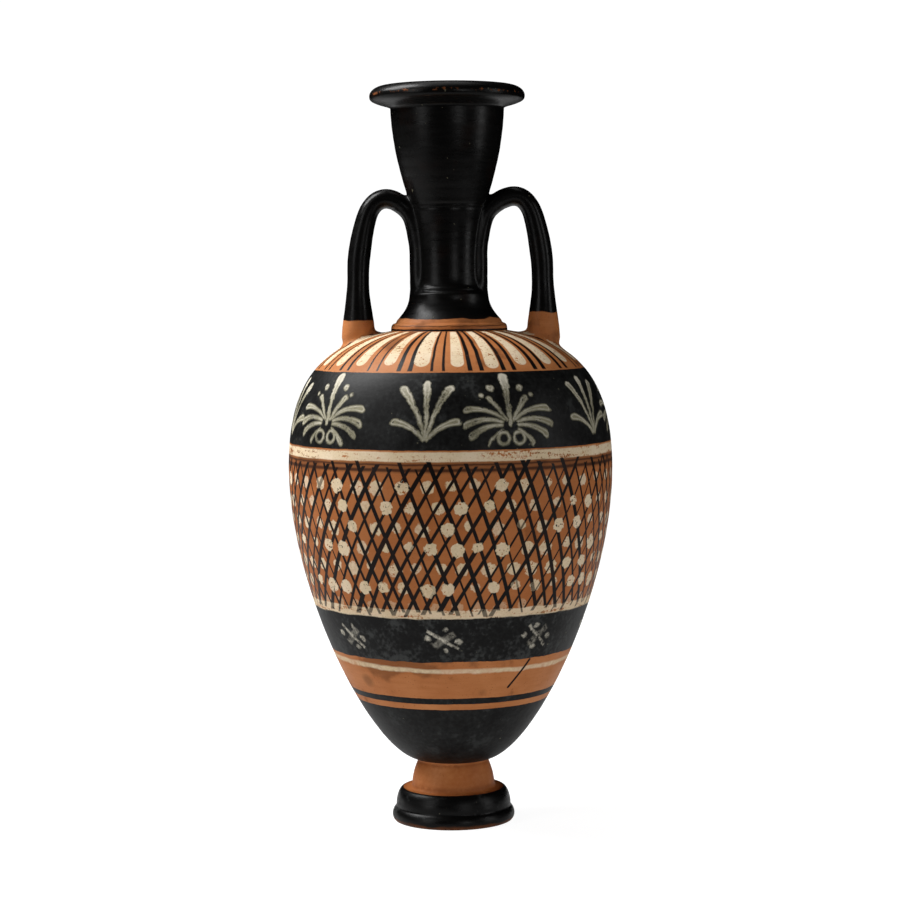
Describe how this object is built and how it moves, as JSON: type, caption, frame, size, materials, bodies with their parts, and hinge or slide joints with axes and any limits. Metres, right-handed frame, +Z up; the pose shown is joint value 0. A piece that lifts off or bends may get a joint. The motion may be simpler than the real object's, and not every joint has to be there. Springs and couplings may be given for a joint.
{
  "type": "terracotta amphoriskos",
  "caption": "Small fired clay jar on a turned foot, with an egg-shaped hollow body, slender flaring neck, rolled lip and strap handles from neck to shoulder.",
  "frame": {"origin": "on the jar's axis at the plane that its foot stands on", "axes": "+Z up along the axis of the jar, +X towards the right handle, -Y towards the front"},
  "size_m": [0.0884, 0.0884, 0.2],
  "materials": {
    "painted_terracotta": "orange-brown fired clay painted with satin black glaze and cream slip bands, net and ornament, worn"
  },
  "bodies": {
    "root": {"amphoriskos": "painted_terracotta"}
  },
  "joints": []
}
